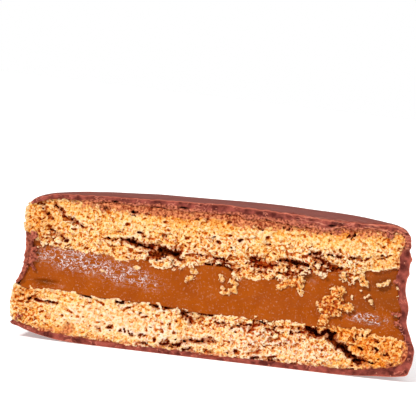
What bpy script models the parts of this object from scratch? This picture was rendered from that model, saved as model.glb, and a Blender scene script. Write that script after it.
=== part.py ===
"""One half of an alfajor, cut through its middle: two round biscuits with a layer of
dulce de leche between them, inside a coat of milk chocolate.

The half rests on its flat underside. The origin is on that surface, under the middle
of the piece. +X runs along the cut, -Y points out of the cut face and +Z is up."""

import math

import bmesh
import bpy

MM = 0.001

# Seen in the cut face, the alfajor is two half sections that meet on its axis: one to
# the right and one to the left. Each row is one feature of the chocolate's outer face,
# from the middle of the underside, out round the rim, to the middle of the top. It
# gives that feature's radius and height, and how thick the chocolate is there, in
# millimetres: first on the right, then on the left.
COAT = (
    ((0.0, 0.0, 0.75), (0.0, 0.0, 0.75)),  # middle of the underside
    ((20.0, 0.0, 0.9), (20.0, 0.0, 1.0)),  # end of the flat spot that it rests on
    ((28.0, 0.45, 1.2), (28.0, 0.5, 1.0)),  # the underside lifts towards its edge
    ((33.5, 1.3, 1.7), (33.9, 2.4, 0.9)),  # bottom edge
    ((34.65, 5.0, 0.95), (34.65, 6.6, 0.6)),  # foot, where the lower biscuit stands out
    ((33.9, 7.4, 0.9), (34.4, 8.8, 0.7)),
    ((32.8, 10.2, 1.2), (33.5, 11.3, 0.9)),  # waist, round the filling
    ((32.8, 12.8, 1.35), (33.3, 14.0, 1.2)),
    ((31.9, 15.8, 1.3), (33.3, 16.5, 1.3)),  # neck under the upper biscuit
    ((32.1, 19.5, 1.8), (33.95, 19.5, 0.8)),  # upper biscuit
    ((31.95, 23.4, 1.2), (33.7, 22.0, 0.7)),
    ((31.3, 25.4, 1.0), (32.8, 23.6, 0.8)),  # shoulder
    ((29.0, 26.35, 1.0), (31.0, 24.5, 0.8)),
    ((24.0, 26.2, 1.4), (28.0, 25.1, 1.0)),  # top, which leans down to the left
    ((16.0, 26.1, 2.0), (20.0, 25.65, 1.7)),
    ((10.0, 26.45, 2.4), (10.0, 26.15, 2.2)),
    ((0.0, 26.6, 2.4), (0.0, 26.6, 2.4)),  # middle of the top
)
# Top of the lower biscuit and underside of the upper one, from the axis outwards: radius
# and height, on the right and on the left.
LOWER_JOINT = (
    ((0.0, 7.9), (0.0, 7.9)),
    ((10.0, 8.0), (8.0, 8.3)),
    ((20.0, 8.1), (20.0, 8.6)),
    ((27.0, 8.1), (26.0, 9.0)),
    ((35.0, 6.7), (35.0, 8.2)),
)
UPPER_JOINT = (
    ((0.0, 15.4), (0.0, 15.4)),
    ((8.0, 15.2), (8.0, 15.1)),
    ((17.0, 16.3), (16.0, 14.9)),
    ((23.0, 17.0), (22.0, 15.2)),
    ((28.0, 18.8), (28.0, 16.1)),
    ((35.0, 19.4), (35.0, 16.6)),
)
GAP = 0.3  # between one piece and the next

# The plan is close to round, pushed in and out a little away from the cut.
WOBBLE = 0.012
WOBBLE_TURNS = 2.0
WOBBLE_START = 0.6

SWEEP_STEPS = 28  # round the half turn from the right section to the left one
STEPS_PER_FEATURE = 2
JOINT_POINTS = 8
RIM_POINTS = 9
FLOOR_POINTS = 8
FINE_POINTS = 240

# Where the coat has flaked off the left end beside the cut: the middle of each chip as
# distance from the axis and height, and its half length, half depth and half height.
CHIPS = (
    ("upper_chip", (34.6, 20.7), (1.9, 3.4, 2.5)),
    ("lower_chip", (35.2, 6.0), (1.9, 3.4, 2.8)),
)
CHIP_SEGMENTS = 16
CHIP_RINGS = 8


def smooth_through(points, steps):
    """A smooth line through the points, with this many steps from each to the next."""
    first = [2 * a - b for a, b in zip(points[0], points[1])]
    last = [2 * a - b for a, b in zip(points[-1], points[-2])]
    run = [first, *points, last]
    line = []
    for p0, p1, p2, p3 in zip(run, run[1:], run[2:], run[3:]):
        for i in range(steps):
            t = i / steps
            line.append(
                tuple(
                    0.5 * (2 * b + (c - a) * t + (2 * a - 5 * b + 4 * c - d) * t * t
                           + (3 * b - 3 * c + d - a) * t**3)
                    for a, b, c, d in zip(p0, p1, p2, p3)
                )
            )
    return [*line, tuple(points[-1])]


def inset(outline, extra=0.0):
    """The (radius, height, thickness) outline moved inwards by its thickness and extra."""
    moved = []
    for i, (radius, height, thick) in enumerate(outline):
        before = outline[max(i - 1, 0)]
        after = outline[min(i + 1, len(outline) - 1)]
        run_r, run_z = after[0] - before[0], after[1] - before[1]
        if radius == 0:  # both ends lie on the axis and stay on it
            run_z = 0
        step = (thick + extra) / math.hypot(run_r, run_z)
        moved.append((max(radius - run_z * step, 0.0), height + run_r * step))
    return moved


def spread(line, count):
    """This many points, evenly far apart along a line of (radius, height) points."""
    lengths = [0.0]
    for a, b in zip(line, line[1:]):
        lengths.append(lengths[-1] + math.dist(a, b))
    found = []
    for i in range(count):
        want = lengths[-1] * i / (count - 1)
        k = max(j for j in range(len(line) - 1) if lengths[j] <= want + 1e-9)
        t = (want - lengths[k]) / (lengths[k + 1] - lengths[k])
        found.append(tuple(a + (b - a) * t for a, b in zip(line[k], line[k + 1])))
    return found


def height_at(line, radius):
    """The height of a line of (radius, height) points at this radius."""
    for (r0, z0), (r1, z1) in zip(line, line[1:]):
        if r0 <= radius <= r1:
            return z0 + (z1 - z0) * (radius - r0) / (r1 - r0)
    return line[-1][1]


def section_line(rows, to_left):
    """The line of the rows' features, part of the way from the right one to the left."""
    mixed = [
        tuple(a + (b - a) * to_left for a, b in zip(right, left)) for right, left in rows
    ]
    return smooth_through(mixed, STEPS_PER_FEATURE)


def outside_section(to_left):
    return [(radius, max(height, 0.0)) for radius, height, _ in section_line(COAT, to_left)]


def inside_section(to_left):
    return inset(section_line(COAT, to_left))


def layer_section(to_left, lower=None, upper=None):
    """The section of a layer inside the coat, from the bottom of its axis to the top.
    lower and upper are the joints that bound it, or None where the coat does."""
    rim = spread(inset(section_line(COAT, to_left), GAP), FINE_POINTS)
    floor = ceiling = []
    if lower:
        line = section_line(lower, to_left)
        rim = [(r, z) for r, z in rim if z > height_at(line, r) + GAP / 2]
        floor = joint_face(line, rim[0], GAP / 2)
    if upper:
        line = section_line(upper, to_left)
        rim = [(r, z) for r, z in rim if z < height_at(line, r) - GAP / 2]
        ceiling = joint_face(line, rim[-1], -GAP / 2)[::-1]
    rim_points = RIM_POINTS if lower and upper else RIM_POINTS + FLOOR_POINTS
    return floor + spread(rim, rim_points) + ceiling


def joint_face(line, corner, lift):
    """Points along a joint moved up by lift, from the axis until just before a corner."""
    run = [(r, z + lift) for r, z in line if r < corner[0] - GAP]
    return spread([*run, corner], JOINT_POINTS + 1)[:-1]


def swept(bm, section):
    """Sweeps a section round the half turn behind the cut, from the right to the left,
    and returns the rows of vertices, one row for each step."""
    ends = [bm.verts.new((0, 0, section(0)[i][1] * MM)) for i in (0, -1)]
    rows = []
    for step in range(SWEEP_STEPS + 1):
        turn = math.pi * step / SWEEP_STEPS
        swell = 1 + WOBBLE * math.sin(turn) * math.sin(WOBBLE_TURNS * turn + WOBBLE_START)
        row = [ends[0]]
        for radius, height in section((1 - math.cos(turn)) / 2)[1:-1]:
            reach = radius * swell * MM
            row.append(bm.verts.new((reach * math.cos(turn), reach * math.sin(turn), height * MM)))
        rows.append([*row, ends[1]])
    for row, after in zip(rows, rows[1:]):
        for a, b, c, d in zip(row, row[1:], after[1:], after):
            corners = [a, b, c] if a is d else [a, b, d] if b is c else [a, b, c, d]
            bm.faces.new(corners)
    return rows


def finish_piece(name, bm, material, holder):
    """The new object of a finished shape, shaded smooth except at its cut edges."""
    bmesh.ops.recalc_face_normals(bm, faces=bm.faces)
    mesh = bpy.data.meshes.new(name)
    bm.to_mesh(mesh)
    bm.free()
    mesh.shade_smooth()
    mesh.set_sharp_from_angle(angle=math.radians(40))
    piece = bpy.data.objects.new(name, mesh)
    piece.data.materials.append(material)
    piece.parent = holder
    return piece


def make_layer(name, material, holder, **joints):
    bm = bmesh.new()
    rows = swept(bm, lambda to_left: layer_section(to_left, **joints))
    bm.faces.new(rows[0] + rows[-1][-2:0:-1])
    return finish_piece(name, bm, material, holder)


def make_coat(name, material, holder):
    """The chocolate: an outer face and an inner one, joined by the rim at the cut."""
    bm = bmesh.new()
    outer = swept(bm, outside_section)
    inner = swept(bm, inside_section)
    for out_row, in_row in ((outer[0], inner[0]), (outer[-1], inner[-1])):
        for a, b, c, d in zip(out_row, out_row[1:], in_row[1:], in_row):
            bm.faces.new((a, b, c, d))
    return finish_piece(name, bm, material, holder)


def make_chip(name, middle, half_sizes, coat, holder, collection):
    """Takes one chip out of the coat's left end, beside the cut."""
    bpy.ops.mesh.primitive_uv_sphere_add(segments=CHIP_SEGMENTS, ring_count=CHIP_RINGS, radius=MM)
    cutter = bpy.context.object
    cutter.name = name
    cutter.parent = holder
    cutter.location = (-middle[0] * MM, 0, middle[1] * MM)
    cutter.scale = half_sizes
    cutter.hide_render = True
    cutter.display_type = "WIRE"
    for other in list(cutter.users_collection):
        other.objects.unlink(cutter)
    collection.objects.link(cutter)
    cut = coat.modifiers.new(name, "BOOLEAN")
    cut.operation = "DIFFERENCE"
    cut.solver = "EXACT"
    cut.object = cutter


def food_material(name, colour, roughness):
    material = bpy.data.materials.new(name)
    material.use_nodes = True
    shader = material.node_tree.nodes["Principled BSDF"]
    shader.inputs["Base Color"].default_value = (*colour, 1)
    shader.inputs["Roughness"].default_value = roughness
    material.diffuse_color = (*colour, 1)
    return material


def new_collection(name):
    collection = bpy.data.collections.new(name)
    bpy.context.scene.collection.children.link(collection)
    return collection


def main():
    for old in list(bpy.data.objects):
        bpy.data.objects.remove(old, do_unlink=True)
    alfajor = new_collection("alfajor_half")
    cutters = new_collection("cutters")

    chocolate = food_material("milk_chocolate", (0.30, 0.10, 0.07), 0.4)
    biscuit = food_material("biscuit", (0.84, 0.50, 0.20), 0.85)
    dulce = food_material("dulce_de_leche", (0.48, 0.10, 0.01), 0.35)

    holder = bpy.data.objects.new("middle_of_cut", None)
    coat = make_coat("chocolate_coat", chocolate, holder)
    pieces = (
        holder,
        coat,
        make_layer("lower_biscuit", biscuit, holder, upper=LOWER_JOINT),
        make_layer("dulce_de_leche", dulce, holder, lower=LOWER_JOINT, upper=UPPER_JOINT),
        make_layer("upper_biscuit", biscuit, holder, lower=UPPER_JOINT),
    )
    for piece in pieces:
        alfajor.objects.link(piece)

    # The cut stands half the piece's depth in front of the origin.
    depth = max(v.co.y for v in coat.data.vertices)
    holder.location.y = -depth / 2
    for name, middle, half_sizes in CHIPS:
        make_chip(name, middle, half_sizes, coat, holder, cutters)


main()
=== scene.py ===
# %% [markdown]
# # Half an alfajor, cut through the middle
# Two crumbly biscuits, a thick layer of dulce de leche between them and a coat of milk
# chocolate round it all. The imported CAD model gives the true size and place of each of
# the four. This lesson dresses them: it grows a torn crumb, a sticky filling and a thin
# shell of chocolate in the same places, then lights them on a pale table.

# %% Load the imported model
import math

import bmesh
import bpy
import numpy as np
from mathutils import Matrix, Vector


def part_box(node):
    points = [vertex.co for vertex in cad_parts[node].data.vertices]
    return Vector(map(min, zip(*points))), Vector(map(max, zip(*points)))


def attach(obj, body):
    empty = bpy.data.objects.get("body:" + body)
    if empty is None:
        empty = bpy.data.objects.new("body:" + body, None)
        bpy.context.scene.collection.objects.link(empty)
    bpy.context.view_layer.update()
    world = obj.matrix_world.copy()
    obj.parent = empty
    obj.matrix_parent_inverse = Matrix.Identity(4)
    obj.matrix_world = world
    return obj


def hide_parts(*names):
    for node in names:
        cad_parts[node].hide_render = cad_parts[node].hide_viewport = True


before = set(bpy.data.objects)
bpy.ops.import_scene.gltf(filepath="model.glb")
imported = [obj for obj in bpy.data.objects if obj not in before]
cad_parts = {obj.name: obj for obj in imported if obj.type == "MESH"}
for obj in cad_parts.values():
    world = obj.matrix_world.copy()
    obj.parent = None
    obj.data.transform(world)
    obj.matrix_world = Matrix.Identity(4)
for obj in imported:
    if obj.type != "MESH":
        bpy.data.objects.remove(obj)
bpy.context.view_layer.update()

import openvdb
from mathutils import Matrix, Vector

print("nodes:", sorted(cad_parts))

# %% [markdown]
# ## Working units
# Food is easiest to think about in millimetres. Every shape below is worked out in
# millimetres, with x along the cut, y as the depth behind the cut face and z up, and is
# only turned into metres when its mesh is made.

# %% Millimetres behind the cut
MM = 0.001
CUT_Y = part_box("chocolate_coat")[0].y / MM
VOXEL = 0.15
print(f"the cut stands at y = {CUT_Y:.2f} mm, and the crumb is grown in steps of {VOXEL} mm")

# %% [markdown]
# ## The section of the coat
# An alfajor is round, so its outside can be drawn as half a section that turns about
# the middle. A handmade one leans, so there are two sections, one for the right end of
# the cut and one for the left, and the shape slides from one to the other on the way
# round the back. Each row is one feature with its radius, its height and how thick the
# chocolate is there.

# %% Features of the coat
COAT = (
    ((0.0, 0.0, 0.75), (0.0, 0.0, 0.75)),  # middle of the underside
    ((20.0, 0.0, 0.9), (20.0, 0.0, 1.0)),  # end of the flat spot that it rests on
    ((28.0, 0.45, 1.2), (28.0, 0.5, 1.0)),  # the underside lifts towards its edge
    ((33.5, 1.3, 1.7), (33.9, 2.4, 0.9)),  # bottom edge
    ((34.65, 5.0, 0.95), (34.65, 6.6, 0.6)),  # foot, where the lower biscuit stands out
    ((33.9, 7.4, 0.9), (34.4, 8.8, 0.7)),
    ((32.8, 10.2, 1.2), (33.5, 11.3, 0.9)),  # waist, round the filling
    ((32.8, 12.8, 1.35), (33.3, 14.0, 1.2)),
    ((31.9, 15.8, 1.3), (33.3, 16.5, 1.3)),  # neck under the upper biscuit
    ((32.1, 19.5, 1.8), (33.95, 19.5, 0.8)),  # upper biscuit
    ((31.95, 23.4, 1.2), (33.7, 22.0, 0.7)),
    ((31.3, 25.4, 1.0), (32.8, 23.6, 0.8)),  # shoulder
    ((29.0, 26.35, 1.0), (31.0, 24.5, 0.8)),
    ((24.0, 26.2, 1.4), (28.0, 25.1, 1.0)),  # top, which leans down to the left
    ((16.0, 26.1, 2.0), (20.0, 25.65, 1.7)),
    ((10.0, 26.45, 2.4), (10.0, 26.15, 2.2)),
    ((0.0, 26.6, 2.4), (0.0, 26.6, 2.4)),  # middle of the top
)
RIGHT, LEFT = np.array(COAT).transpose(1, 0, 2)
ALONG = 0.18  # millimetres between points along a section


def smooth_through(points, counts):
    """A smooth curve through the points, with counts[i] steps after point i."""
    p = np.asarray(points, float)
    run = np.vstack([2 * p[0] - p[1], p, 2 * p[-1] - p[-2]])
    spans = []
    for a, b, c, d, count in zip(run, run[1:], run[2:], run[3:], counts):
        t = np.linspace(0, 1, count, endpoint=False)[:, None]
        spans.append(0.5 * (2 * b + (c - a) * t + (2 * a - 5 * b + 4 * c - d) * t**2
                            + (3 * b - 3 * c + d - a) * t**3))
    return np.vstack([*spans, p[-1:]])


lengths = np.linalg.norm(np.diff(RIGHT[:, :2], axis=0), axis=1)
COUNTS = np.maximum(np.round(lengths / ALONG).astype(int), 3)


def coat_line(to_left):
    """The outside of the coat as radius, height and thickness, part of the way round."""
    line = smooth_through(RIGHT + (LEFT - RIGHT) * to_left, COUNTS)
    line[:, 1] = np.maximum(line[:, 1], 0)
    return line


def inset(line, extra=0.0):
    """The line moved inwards by its own thickness and a little extra."""
    run = np.gradient(line[:, :2], axis=0)
    run[[0, -1], 1] = 0
    run /= np.linalg.norm(run, axis=1, keepdims=True)
    reach = line[:, 2] + extra
    return np.column_stack([line[:, 0] - run[:, 1] * reach, line[:, 1] + run[:, 0] * reach])


WOBBLE, WOBBLE_TURNS, WOBBLE_START = 0.012, 2, 0.6  # the plan is a little out of round


def swell(turn):
    """How far out of round the plan is at this angle round the back."""
    return 1 + WOBBLE * np.sin(turn) * np.sin(WOBBLE_TURNS * turn + WOBBLE_START)


print("points round half a section:", len(coat_line(0)))

# %% [markdown]
# ## Distance fields
# The insides are grown as fields: a number at every point of a fine grid that is above
# zero inside the food and below zero outside. Fields are good for food, because crumbs,
# pores and tears are only sums and minimums of simple fields. The first field says how
# far a point is inside the chocolate coat. It is kept as a flat table for each half
# section and is looked up by radius and height.

# %% How far inside the coat
TABLE_STEP = 0.1
TABLE_R = np.arange(0, 37, TABLE_STEP)
TABLE_Z = np.arange(-2, 29, TABLE_STEP)


def distance_table(line):
    """Distance inside a half section, which is negative outside it."""
    r, z = np.meshgrid(TABLE_R, TABLE_Z, indexing="ij")
    nearest = np.full(r.shape, np.inf)
    inside = np.zeros(r.shape, bool)
    for (r0, z0), (r1, z1) in zip(line, line[1:]):
        dr, dz = r1 - r0, z1 - z0
        t = np.clip(((r - r0) * dr + (z - z0) * dz) / max(dr * dr + dz * dz, 1e-9), 0, 1)
        nearest = np.minimum(nearest, (r - r0 - t * dr) ** 2 + (z - z0 - t * dz) ** 2)
        if dz:
            inside ^= ((z0 > z) != (z1 > z)) & (r < r0 + (z - z0) * dr / dz)
    return np.where(inside, np.sqrt(nearest), -np.sqrt(nearest))


def look_up(table, r, z):
    """The table's value at any radius and height."""
    i = np.clip(r / TABLE_STEP, 0, len(TABLE_R) - 1.01)
    j = np.clip((z - TABLE_Z[0]) / TABLE_STEP, 0, len(TABLE_Z) - 1.01)
    i0, j0 = i.astype(int), j.astype(int)
    fi, fj = i - i0, j - j0
    low = table[i0, j0] * (1 - fi) + table[i0 + 1, j0] * fi
    high = table[i0, j0 + 1] * (1 - fi) + table[i0 + 1, j0 + 1] * fi
    return low * (1 - fj) + high * fj


CAVITY = [distance_table(inset(coat_line(side))[::2]) for side in (0, 1)]


def inside_coat(x, y, z):
    """Distance inside the coat's inner face; y is the depth behind the cut."""
    y = np.maximum(y, 0)
    turn = np.arctan2(y, x)
    reach = np.hypot(x, y) / swell(turn)
    to_left = (1 - np.cos(turn)) / 2
    return (1 - to_left) * look_up(CAVITY[0], reach, z) + to_left * look_up(CAVITY[1], reach, z)


print("table size:", CAVITY[0].shape)

# %% [markdown]
# ## Noise
# Nothing in food is even. Cloudy noise is a lattice of random numbers that is blended
# smoothly between its points. At several sizes it gives waves, lumps, pores and stains.
# The lattice is turned at random, so its directions don't show.

# %% Clouds, puffs and steps
LATTICE = 64  # random values each way, before the lattice repeats


def cloud(places, size, seed):
    """Smooth random values from -1 to 1, about size millimetres from one to the next.
    places holds x, y and z, as arrays that fit each other."""
    rng = np.random.default_rng(seed)
    turned = np.linalg.qr(rng.normal(size=(3, 3)))[0] / np.broadcast_to(size, 3)
    values = rng.uniform(-1, 1, (LATTICE, LATTICE, LATTICE)).astype(np.float32)
    cells, shares = [], []
    for row in turned.astype(np.float32):
        place = sum(part * axis for part, axis in zip(row, places))
        cell = np.floor(place)
        share = place - cell
        cells.append(cell.astype(np.int32) % LATTICE)
        shares.append(share * share * (3 - 2 * share))
    total = 0
    for corner in np.ndindex(2, 2, 2):
        at = tuple((cell + step) % LATTICE for cell, step in zip(cells, corner))
        weight = 1
        for share, step in zip(shares, corner):
            weight = weight * (share if step else 1 - share)
        total = total + weight * values[at]
    return total


def puffs(places, size, seed):
    """Rounded lumps with sharp creases between them, about -0.5 in a crease."""
    return np.abs(cloud(places, size, seed)) * 2 - 0.5


def grains_of(places, size, seed):
    """Grains of random shape, about size millimetres wide. Gives how far a place is from
    the border of its grain, as a share of the size, and a random value for each grain."""
    rng = np.random.default_rng(seed)
    turned = np.linalg.qr(rng.normal(size=(3, 3)))[0] / np.broadcast_to(size, 3)
    middles = rng.uniform(0, 1, (3, LATTICE, LATTICE, LATTICE)).astype(np.float32)
    values = rng.uniform(-1, 1, (LATTICE, LATTICE, LATTICE)).astype(np.float32)
    at = [sum(part * axis for part, axis in zip(row, places)) for row in turned.astype(np.float32)]
    cells = [np.floor(place).astype(np.int32) for place in at]
    first, second, value = np.full((3, *at[0].shape), 9.0, np.float32)
    for step in np.ndindex(3, 3, 3):
        near = [cell + (move - 1) for cell, move in zip(cells, step)]
        index = tuple(cell % LATTICE for cell in near)
        gap = sum((cell + middle[index] - place) ** 2
                  for cell, middle, place in zip(near, middles, at))
        closer = gap < first
        second = np.where(closer, first, np.minimum(second, gap))
        value = np.where(closer, values[index], value)
        first = np.where(closer, gap, first)
    return np.sqrt(second) - np.sqrt(first), value


def ease(value, low, high):
    """0 below low, 1 above high and smooth between them."""
    t = np.clip((value - low) / (high - low), 0, 1)
    return t * t * (3 - 2 * t)


def patches(x, z, spots):
    """The sum of soft round patches on the cut face. A spot is its middle in x and
    height, its reach in each and its value."""
    total = 0.0 * (x + z)
    for at_x, at_z, reach_x, reach_z, value in spots:
        total = total + value * np.exp(-((x - at_x) / reach_x) ** 2 - ((z - at_z) / reach_z) ** 2)
    return total


sample = cloud((np.linspace(0, 50, 500), 0, 0), 0.5, 1)
print(f"noise runs from {sample.min():.2f} to {sample.max():.2f}")

# %% [markdown]
# ## From a field to a mesh
# OpenVDB comes with Blender and turns a field into quads along its zero surface. The
# grid is even near the cut, where the crumb shows, and wider apart behind it. The points
# come back in grid steps, so they are stretched back onto the uneven grid lines. Bits
# that float free of the main lump are dropped, and the hidden back is thinned out. For
# the colour, each point learns the value of a few more fields.

# %% Grids and helpers
MOST_TRIANGLES = 185_000
FEWEST_POINTS = 5000  # a lump with fewer points floats free and is dropped
FACE_DEPTH = 1.05  # millimetres behind the cut that keep every triangle
IN_FRONT = -1.0  # the grid starts this far in front of the cut
GROWTH, WIDEST_STEP = 1.45, 2.5  # how the steps widen behind the cut


def make_grid(low, high, depth, fine=2.1):
    """Grid lines along x, y and z: even near the cut face, wider apart behind it."""
    xs = np.arange(low[0], high[0] + VOXEL, VOXEL)
    zs = np.arange(low[1], high[1] + VOXEL, VOXEL)
    ys = list(np.arange(IN_FRONT, fine, VOXEL))
    step = VOXEL
    while ys[-1] < depth:
        step = min(step * GROWTH, WIDEST_STEP)
        ys.append(ys[-1] + step)
    return xs, np.array(ys), zs


def spread(grid):
    """x, y and z of the grid as thin arrays that fit each other."""
    return np.meshgrid(*(np.asarray(axis, np.float32) for axis in grid), indexing="ij", sparse=True)


def blur(volume, cells):
    """The mean over a box of this many cells each way, along every axis."""
    width = 2 * cells + 1
    for axis in range(3):
        pad = [(cells + 1, cells) if a == axis else (0, 0) for a in range(3)]
        sums = np.cumsum(np.pad(volume, pad, mode="edge"), axis=axis)
        count = volume.shape[axis]
        high = np.take(sums, np.arange(width, width + count), axis=axis)
        volume = (high - np.take(sums, np.arange(count), axis=axis)) / width
    return volume


def lumps_of(points, quads, fewest):
    """The connected parts of a mesh that have at least this many points."""
    label = np.arange(len(points))
    edges = np.vstack([quads[:, [0, 1]], quads[:, [1, 2]], quads[:, [2, 3]]])
    while True:
        low = np.minimum(label[edges[:, 0]], label[edges[:, 1]])
        after = label.copy()
        np.minimum.at(after, edges[:, 0], low)
        np.minimum.at(after, edges[:, 1], low)
        after = after[after]
        if (after == label).all():
            break
        label = after
    keep = np.bincount(label, minlength=len(label))[label] >= fewest
    number = np.cumsum(keep) - 1
    return keep, number[quads[keep[quads[:, 0]]]]


def triangles(piece):
    return sum(len(polygon.vertices) - 2 for polygon in piece.data.polygons)


# %% Field to mesh
def close_edges(field):
    """Makes the outermost layer of the grid empty, so that the surface closes there."""
    for axis in range(3):
        for end in (0, -1):
            edge = [slice(None)] * 3
            edge[axis] = end
            field[tuple(edge)] = np.minimum(field[tuple(edge)], -0.05)


def thin_out(piece, behind):
    """Joins small faces at these points of the hidden back into larger ones."""
    spare = piece.vertex_groups.new(name="hidden back")
    spare.add(behind.tolist(), 1.0, "REPLACE")
    thin = piece.modifiers.new("thin out the back", "DECIMATE")
    thin.ratio = MOST_TRIANGLES / triangles(piece)
    thin.vertex_group = spare.name
    bpy.context.view_layer.objects.active = piece
    bpy.ops.object.modifier_apply(modifier=thin.name)


def food_mesh(name, grid, field, looks, fewest=FEWEST_POINTS):
    """An object from a field, with one attribute for each field that colours it."""
    close_edges(field)
    volume = openvdb.FloatGrid(background=1.0)
    volume.copyFromArray(-field.astype(np.float32))
    points, quads = volume.convertToQuads(isovalue=0.0)
    keep, quads = lumps_of(points, quads.astype(int), fewest)
    points = points[keep]
    places = np.column_stack([np.interp(points[:, i], np.arange(len(grid[i])), grid[i])
                              for i in range(3)])
    mesh = bpy.data.meshes.new(name)
    mesh.from_pydata((places + (0, CUT_Y, 0)) * MM, [], quads.tolist())
    mesh.shade_smooth()
    cell = tuple(np.round(points).astype(int).T)
    for label, values in looks.items():
        layer = mesh.attributes.new(label, "FLOAT", "POINT")
        at_points = np.broadcast_to(values, field.shape)[cell]
        layer.data.foreach_set("value", at_points.astype(np.float32))
    piece = bpy.data.objects.new(name, mesh)
    bpy.context.scene.collection.objects.link(piece)
    grown = triangles(piece)
    if grown > MOST_TRIANGLES:
        thin_out(piece, np.flatnonzero(places[:, 1] > FACE_DEPTH))
    print(f"{name}: {grown} triangles, now {triangles(piece)}")
    return piece


# %% [markdown]
# ## Where the layers meet
# The two joints, from the left end of the cut to the right. The torn lower edge of the
# upper biscuit hangs into the filling in clumps, so its line is more broken than the
# pressed top of the lower biscuit.

# %% Lines of the joints
LOWER_JOINT = ((-34, 9), (-31, 8.5), (-26, 9), (-20, 8.5), (-10, 8.5), (-4, 8), (18, 8),
               (24, 8.5), (29, 7.5), (34, 7))
UPPER_JOINT = ((-34, 17), (-30, 16), (-26, 15.5), (-20, 15.5), (-16, 14.5), (-13.5, 15.5),
               (-11, 14.5), (-8, 14.5), (-4, 15.5), (1, 15.5), (3.5, 14), (10, 14.5),
               (14, 16), (20, 17), (23, 16), (25, 18), (29, 19), (34, 19.5))


TORN_UNTIL, PLAIN_FROM = 2.0, 6.0  # millimetres behind the cut


def joint_height(line, x, y):
    """The height of a joint, which turns into a plain slope behind the cut."""
    at, height = np.array(line, float).T
    torn = np.interp(x, at, height)
    plain = np.interp(x, at, np.convolve(np.pad(height, 2, mode="edge"), np.ones(5) / 5, "valid"))
    return torn + (plain - torn) * ease(y, TORN_UNTIL, PLAIN_FROM)


filling_height = joint_height(UPPER_JOINT, 0, 0) - joint_height(LOWER_JOINT, 0, 0)
print(f"filling at the middle: {filling_height:.1f} mm")

# %% [markdown]
# ## Where the coat is thin or gone
# Beside the cut the coat is not whole. On the left end two spots have flaked off, and
# there the biscuit bulges out to where the chocolate was. Along the top the chocolate
# has soaked into the crumb, so that the clean band is thinner there and a few drips hang
# from it. These functions are used by the crumb and by the shell, so that they agree.

# %% Flaked spots, soaked crumb and drips
FLAKES = ((20.4, 3.0, 2.6, 0.75), (6.0, 3.2, 3.4, 0.6))  # height, length, half height, bulge
DRIPS = [  # patches: x, height, half length, half height, and how much thicker
    (-1, 24, 0.5, 2, 1.0), (5, 24, 1.5, 2, 0.9), (-27.5, 24.5, 3.5, 2, -0.3),
    (17, 25, 1.2, 2, 0.45), (23, 25, 1, 2, -0.3), (32.5, 9.5, 1.5, 0.8, 0.3),
    (-33, 2, 2.5, 1.5, -0.45), (-20, 1, 9, 1.5, -0.45), (1, 0.5, 8, 1.2, -0.25),
    (-33, 13.5, 1.5, 3.5, -0.25),
]
WAVE_HEIGHTS = np.arange(11.5, 24, 2)  # the right wall is thin and thick by turns
DRIPS += [(31.5, height, 1.5, 0.8, 0.4 * (-1) ** turn)
          for turn, height in enumerate(WAVE_HEIGHTS, start=1)]


def flaked(x, y, z):
    """1 in the middle of a spot that has lost its chocolate, below 0 away from it."""
    jag = 0.10 * np.sin(z * 5.1 + y * 2.3) + 0.08 * np.sin(z * 9.7 - y * 7.1 + 1)
    best = -9.0
    for height, length, half, _ in FLAKES:
        best = np.maximum(best, 1 + jag - ((z - height) / half) ** 2 - (y / length) ** 2)
    return np.where((x < 0) & (np.hypot(x, y) > 25), best, -9.0)


def worn(x, y, z):
    """The share of the coat's thickness that is gone: the coat thins towards a flaked spot."""
    return ease(flaked(x, y, z), -0.6, 0.1)


def bulging(x, y, z):
    """How far the biscuit bulges out at the flaked spots."""
    heights, bulges = zip(*sorted((flake[0], flake[3]) for flake in FLAKES))
    return np.interp(z, heights, bulges) * worn(x, y, z)


def soaked(x, y):
    """How much thinner than its full thickness the clean chocolate of the top is."""
    across = ease(x, -29, -22) * (1 - 0.45 * ease(x, 7, 12)) * (1 - ease(x, 25, 30))
    return 0.75 * across * (1 - ease(y, 0.6, 2.2))


def top_right(x, z):
    """The right part of the top edge, where the knife has roughened the coat."""
    return ease(x, 9, 12) * ease(z, 22, 24)


print(f"clean chocolate over the middle: {RIGHT[-1, 2] - soaked(0.0, 0.0):.2f} mm")

# %% [markdown]
# ## Where the knife tore
# No two cuts tear alike, so single cracks and crumbs are not drawn one by one. A knife
# opens the crumb in runs, rows of short cracks that slant the way the knife went, and it
# drops crumbs in clumps. Both are given by a few values, with places as shares of the
# cut face of a node of the frame: 0 is its left end or underside and 1 its right end or
# top. A seeded generator then sets the single strokes.

# %% Runs and clumps of strokes
STRAY = 0.6  # how far a crack strays from its run, in shares of its half width


def face_of(node):
    """The lower left corner of a node's cut face, and its width and height."""
    low, high = (np.array(corner)[[0, 2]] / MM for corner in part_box(node))
    return low, high - low


def torn_runs(node, runs, seed):
    """Cracks in a row along each run: both ends, half width and depth. A run has its own
    two ends, the number of cracks, the share of it that is open, and their size."""
    low, size = face_of(node)
    rng = np.random.default_rng(seed)
    cracks = []
    for start, end, count, open_share, half_width, depth in runs:
        step = size * np.subtract(end, start) / count
        for i in range(count):
            middle = low + size * start + step * (i + 0.5) + rng.normal(0, STRAY * half_width, 2)
            half = 0.5 * step * open_share * rng.uniform(0.7, 1.3)
            tear = rng.uniform(0.8, 1.2)
            cracks.append((*(middle - half), *(middle + half), half_width * tear, depth * tear))
    print(f"{node}: {len(cracks)} cracks in {len(runs)} runs")
    return cracks


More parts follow.
